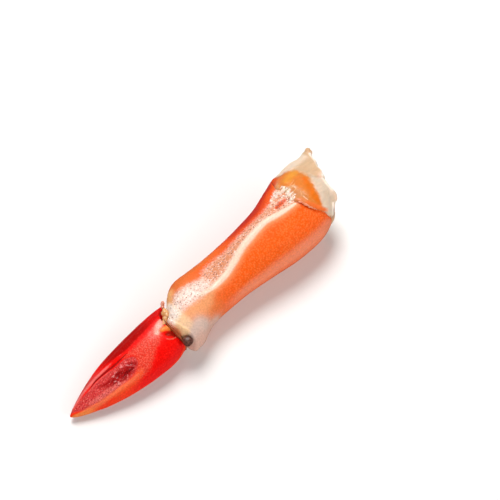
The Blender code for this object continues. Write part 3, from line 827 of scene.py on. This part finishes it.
def makeFringe():
    # flakes of pale skin round the frayed hole and over the shell's edge, laid on what is under them
    shape = meatShape
    claw = bpy.context.evaluated_depsgraph_get()

    def laidAt(x, y):
        # what a plumb line meets first: its place, its normal and its piece
        _, place, way, _, under, _ = scene.ray_cast(claw, Vector((x, y, 30)) * mm, Vector((0, 0, -1)))
        return place / mm, way, under

    # each flake is three strands side by side: a middle, a way and half a length
    drawn, strandApart = [], 0.5
    for i, (start, end) in enumerate(shape["flakes"]):
        start, end = Vector(start), Vector(end)
        aside = (end - start).orthogonal().normalized()
        for k in (-1, 0, 1):
            slid = (end - start) * 0.2 * math.sin(3.1 * i + 2.3 * k)
            middle = (start + end) / 2 + aside * strandApart * k + slid
            drawn.append((middle, (end - start).normalized(), (end - start).length * (0.42 - 0.1 * abs(k))))
    for i, place in enumerate(curveThrough(shape["edge"], 4)):
        middle = Vector(place) + Vector((0.5 * math.sin(i * 2.4), 0.3 * math.cos(i * 1.7)))
        way = Vector((1, 0.5 * math.sin(i * 1.3))).normalized()
        drawn.append((middle, way, 0.6 + 0.25 * math.sin(i * 4.1)))
    strands = []
    # a thin welt of skin over the seam on the right, where the meat is grown to the shell
    for i, y in enumerate(shape["welt"]):
        for x in np.arange(30.5, 38.0, 0.1):
            place, way, under = laidAt(x, y)
            if under.name == "clawMeat":
                break
        wide = shape["weltWide"] * (1 - 0.7 * abs(2 * i / (len(shape["welt"]) - 1) - 1) ** 2)
        strands.append((place - way * 0.4 * wide, wide))
    for i, (middle, way, half) in enumerate(drawn):
        ends = [middle + way * half * side for side in (-1, 1)]
        start, end = (laidAt(*place)[0] - Vector((0, 0, shape["flakeSunk"])) for place in ends)
        wide = shape["flakeWide"] * (1 + 0.3 * math.sin(i * 5.3))
        strands.append(((start + end) / 2, wide, end - start, half / wide))
    piece = lumps("frayedSkin", strands)
    fused(piece, shape["flakeVoxel"], 2)
    ragged = noiseAt(places(piece), shape["raggedSize"], kind="cells", seed=21)
    relief(piece, shape["raggedHigh"] * (ragged - 0.3))
    y = places(piece)[:, 1]
    mark(piece, glare=ragged * soften(y, -1.2, -0.6), edge=0.7 * soften(-y, 0.7, 1.3))
    finish(piece, meatMaterial("frayedClawSkin", "#f4d4c2"))


def makeMeat():
    shape = meatShape
    bumps = lumps("bumps", shape["lobes"])
    piece = copyOf("palm_meat", "clawMeat")
    subdivided(piece, 1)
    x, y, z = places(piece).T
    # the left side of the meat runs straight from the sleeve to the knob
    leftSide = soften(y, 7.0, 9.5) * soften(x, 35.5, 38.5) * soften(-x, -51.0, -47.5)
    relief(piece, -shape["leftIn"] * leftSide, "Y")
    bumps.select_set(True)
    bpy.ops.object.join()
    fused(piece, shape["voxel"], 8)
    spots, ways = places(piece), facing(piece)
    (x, y, z), (wayX, wayY, wayZ) = spots.T, ways.T
    top = soften(wayZ, -0.1, 0.4)
    out = soften(x, 33.0, 36.0)
    rim = along(spots, shape, "rim")
    groove, fold, glare, yellow, deep = (
        along(spots, shape, name) * top for name in ("groove", "fold", "glare", "yellow", "deep")
    )
    torn = soften(wayX, 0.5, 0.9) * soften(x, 38, 41) * (1 - rim) * (1 - 0.8 * soften(z, 11.0, 13.5))
    streaks = sum(nearLine(spots, line, *shape["streakWidth"]) for line in shape["streaks"]) * top
    beside = besideShell(spots, ways) * (1 - 0.4 * soften(y, 5.5, 7.5))
    clouds = noiseAt(spots, shape["cloudSize"], out, seed=1) - 0.4
    fibres = noiseAt(spots, shape["fibreSize"], torn, (3, 1, 1), "cells", 4) - 0.3
    relief(piece, (
        shape["cloudHigh"] * clouds * out + shape["fibreHigh"] * fibres * torn + shape["rimHigh"] * rim
        - shape["grooveDeep"] * groove - shape["foldDeep"] * fold + shape["glareHigh"] * glare
        + shape["seamOut"] * beside * (1 + 0.15 * soften(-y, 1, 3) * soften(y, -8.5, -7))
    ))
    # the meat is grown to the shell and reaches over its thin edge, most of all left of the seam
    leftOfSeam = 0.45 + 0.55 * soften(z, 11, 14) * soften(y, -9.0, -7.5)
    relief(piece, -shape["overEdge"] * beside * leftOfSeam, "X")
    tan = np.maximum(within(spots, shape, "tan"), soften(-x, -35.0, -32.5)) * top
    # lighter towards the left side, partly a painted highlight, and mottled with the clouds
    pale = np.maximum(soften(y, 5.0, 8.0), 0.25 * (clouds + 0.4)) * out
    edge = beside ** 2 * soften(-y, 0.0, 2.5) * soften(y, -10.0, -8.0) * (0.55 + 0.45 * soften(-y, 3.5, 5.0))
    mark(
        piece, yellow=yellow, deep=deep, rim=rim, streaks=streaks, glare=glare,
        patch=within(spots, shape, "patch") * top, rimZone=within(spots, shape, "rimZone") * top,
        halo=inside(spots, shape["patch"], shape["haloWide"]) * top, tan=tan + 0.25 * soften(x, 49.5, 51.5),
        shade=soften(-wayY, 0.2, 0.8), pink=soften(-y, -2.0, 3.0) * top,
        pale=pale * soften(-x, -50.5, -48.5), edge=edge * soften(-wayY, 1.0, 0.75),
        # light on the raised torn fibres and dark between them, painted as highlight and shade
        strand=torn * soften(fibres, 0.1, 0.5), crevice=torn * soften(fibres, 0.0, -0.25),
        corner=within(spots, shape, "corner"), cornerGlow=along(spots, shape, "cornerGlow"),
    )
    finish(piece, meatMaterial("boiledClawMeat", "#d2ae8a"), "palm_meat")


hingeShape = {
    # cream gristle in the slot on the left, each lump a place and a radius, and the small peg beyond it
    "gristle": (
        ((-15.5, 6.2, 10.5), 0.75, (0.8, 0.6, 0), 1.3), ((-16.6, 5.8, 10.1), 0.72, (0.8, 0.6, 0), 1.2),
        ((-17.6, 5.2, 10.2), 0.65, (0.8, 0.6, 0), 1.2), ((-18.4, 4.8, 10.5), 0.5),
        ((-14.7, 7.7, 9.4), 0.65, (0.8, 1.2, -0.6), 1.6),
    ),
    "peg": (((-12.9, 10.1, 8.1), 0.5, (0.8, 0.6, 0.2), 1.7), ((-13.7, 9.4, 8.0), 0.45)),
    "gristleVoxel": 0.1, "gristleSize": 1.1, "gristleHigh": 0.15, "beadSize": 0.8, "beadHigh": 0.12,
    "skinOut": 0.8, "wrinkleSize": 1.2, "wrinkleHigh": 0.1,
    # the brown bead is fuller than the solid, and a little deeper in its socket
    "brownOut": 0.25, "brownDeep": 0.45,
}


def chitinMaterial(name, light, dark, roughness):
    # Bare condyle and gristle: smooth chitin without shell pigment, so light goes a little way in.
    material, tree, shader, place = newMaterial(name)
    cloud = addNode(tree, "ShaderNodeTexNoise", {"Scale": 1 / (1.0 * mm), "Detail": 2.0}, {"Vector": place})
    spread = addNode(
        tree, "ShaderNodeMapRange", {"From Min": 0.35, "From Max": 0.65}, {"Value": cloud.outputs["Fac"]},
    )
    mixed = addNode(
        tree, "ShaderNodeMix", {6: linear(light), 7: linear(dark)}, {0: spread.outputs[0]}, data_type="RGBA",
    )
    tree.links.new(mixed.outputs[2], shader.inputs["Base Color"])
    setShader(shader, {
        "Roughness": roughness, "Coat Weight": 0.3, "Coat Roughness": 0.5 * roughness,
        "Subsurface Weight": 0.2, "Subsurface Radius": (1.0, 0.6, 0.4), "Subsurface Scale": 0.6 * mm,
    })
    return material


def skinMaterial():
    # Hinge skin: moist brown membrane in the slot between finger and knuckle, wrinkled and dull.
    material, tree, shader, place = newMaterial("hingeMembrane")
    mottle = addNode(tree, "ShaderNodeTexNoise", {"Scale": 1 / (1.2 * mm), "Detail": 3.0}, {"Vector": place})
    mixed = addNode(
        tree, "ShaderNodeMix", {6: linear("#b4441e"), 7: linear("#dc8454")}, {0: mottle.outputs["Fac"]},
        data_type="RGBA",
    )
    linkSkin(tree, shader, mixed.outputs[2], mottle.outputs["Fac"], 0.4, 0.1)
    setShader(shader, {"Roughness": 0.4, "Coat Weight": 0.3, "Coat Roughness": 0.15})
    return material


def makeHinge():
    shape = hingeShape
    piece = copyOf("hinge_membrane", "hingeSkin")
    subdivided(piece, 2)
    spots, ways = places(piece), facing(piece)
    # its edge stands out, so that no slot shows beside it
    edge = soften(1 - np.abs(ways[:, 0]), 0.4, 0.9) * soften(spots[:, 1], -3.4, -2.0)
    wrinkles = noiseAt(spots, shape["wrinkleSize"], seed=6)
    relief(piece, shape["wrinkleHigh"] * wrinkles + shape["skinOut"] * edge)
    finish(piece, skinMaterial(), "hinge_membrane")


def makeCondyles():
    shape = hingeShape
    cream = chitinMaterial("creamCondyleChitin", "#efc08a", "#cf8c52", 0.3)
    brown = chitinMaterial("brownCondyleChitin", "#74483a", "#42201a", 0.5)
    pink = chitinMaterial("pinkPegChitin", "#e8a890", "#cf7f66", 0.3)
    for node, name, material, slot, fuller, deeper in (
        ("hinge_bead_left", "creamCondyle", cream, "bead_cream", 0.0, 0.0),
        ("hinge_bead_right", "brownCondyle", brown, "bead_grey", shape["brownOut"], shape["brownDeep"]),
    ):
        piece = copyOf(node, name)
        subdivided(piece, 3)
        clouds = shape["beadHigh"] * noiseAt(places(piece), shape["beadSize"], seed=8)
        relief(piece, clouds + fuller)
        relief(piece, np.full(len(clouds), -deeper), "Y")
        finish(piece, material, node)
    for name, part, material in (("hingeGristle", "gristle", cream), ("hingePeg", "peg", pink)):
        piece = lumps(name, shape[part])
        fused(piece, shape["gristleVoxel"], 5)
        relief(piece, shape["gristleHigh"] * noiseAt(places(piece), shape["gristleSize"], seed=7))
        finish(piece, material)


studio = {
    "floor": "#f2f1ef", "floorSize": 6.0, "domeRadius": 2.5,
    # the photo's viewing angle: place in mm, turn and height in degrees
    "cameraPlace": (-123.367, -109.908, 317.617), "cameraTurn": -51.23, "cameraHeight": 60.0,
    "lens": 90.0, "sensor": 36.0,
    # name, direction from the claw (azimuth from +X, elevation), distance, size in m, watts, and
    # whether the wet surfaces mirror it
    "lights": (
        ("overheadSoftbox", 55.0, 62.0, 0.75, 0.4, 5.2, True),
        ("backSoftbox", 62.0, 30.0, 0.8, 0.35, 1.2, False),
        ("frontFill", 215.0, 35.0, 0.9, 0.6, 2.5, False),
        ("rightFill", 285.0, 28.0, 0.9, 0.6, 3.0, False),
    ),
    "skyStrength": 0.1,
}


def makeStudio():
    bpy.ops.object.select_all(action="DESELECT")
    bpy.ops.mesh.primitive_plane_add(size=studio["floorSize"], location=(0, 0, -0.02 * mm))
    floor = bpy.context.object
    floor.name = "studioFloor"
    material, tree, shader, place = newMaterial("matWhitePaper")
    setShader(shader, {
        "Base Color": linear(studio["floor"]), "Roughness": 0.8, "Specular IOR Level": 0.2,
        "Emission Color": (1, 1, 1, 1),
    })
    # far from the claw the lamps fade, so there the paper glows by itself up to the horizon
    far = addNode(tree, "ShaderNodeVectorMath", links={0: place}, operation="LENGTH")
    glow = addNode(
        tree, "ShaderNodeMapRange", {"From Min": 0.3, "From Max": 1.2, "To Max": 1.0},
        {"Value": far.outputs["Value"]},
    )
    tree.links.new(glow.outputs[0], shader.inputs["Emission Strength"])
    floor.data.materials.append(material)
    # the wet shell doesn't mirror the paper, which would wash its red out to pink
    floor.visible_glossy = False
    # a white dome round it all, which only the camera sees
    bpy.ops.mesh.primitive_uv_sphere_add(segments=64, ring_count=32, radius=studio["domeRadius"])
    dome = bpy.context.object
    dome.name = "studioBackdrop"
    dome.visible_diffuse = dome.visible_glossy = dome.visible_transmission = dome.visible_shadow = False
    material, tree, shader, place = newMaterial("whiteBackdrop")
    setShader(shader, {"Base Color": (0, 0, 0, 1), "Emission Color": (1, 1, 1, 1), "Emission Strength": 1.0})
    dome.data.materials.append(material)
    for name, azimuth, elevation, distance, size, watts, mirrored in studio["lights"]:
        a, e = math.radians(azimuth), math.radians(elevation)
        way = Vector((math.cos(a) * math.cos(e), math.sin(a) * math.cos(e), math.sin(e)))
        lamp = bpy.data.lights.new(name, "AREA")
        lamp.shape, lamp.size, lamp.energy = "DISK", size, watts
        holder = bpy.data.objects.new(name, lamp)
        holder.visible_glossy = mirrored
        scene.collection.objects.link(holder)
        holder.location = way * distance
        holder.rotation_euler = way.to_track_quat("Z", "Y").to_euler()
    world = bpy.data.worlds.new("studioSky")
    world.use_nodes = True
    sky = world.node_tree.nodes["Background"]
    setShader(sky, {"Color": (1, 1, 1, 1), "Strength": studio["skyStrength"]})
    scene.world = world


def makeCamera():
    a, e = math.radians(studio["cameraTurn"]), math.radians(studio["cameraHeight"])
    back = Vector((math.sin(a) * math.cos(e), -math.cos(a) * math.cos(e), math.sin(e)))
    camera = bpy.data.cameras.new("camera")
    camera.lens, camera.sensor_width = studio["lens"], studio["sensor"]
    holder = bpy.data.objects.new("camera", camera)
    scene.collection.objects.link(holder)
    holder.location = Vector(studio["cameraPlace"]) * mm
    holder.rotation_euler = back.to_track_quat("Z", "Y").to_euler()
    scene.camera = holder


scene.view_settings.view_transform = "Standard"
makeFinger()
makeSleeve()
makeMeat()
makeFringe()
makeHinge()
makeCondyles()
makeStudio()
makeCamera()
print("claw, studio and camera are in place")
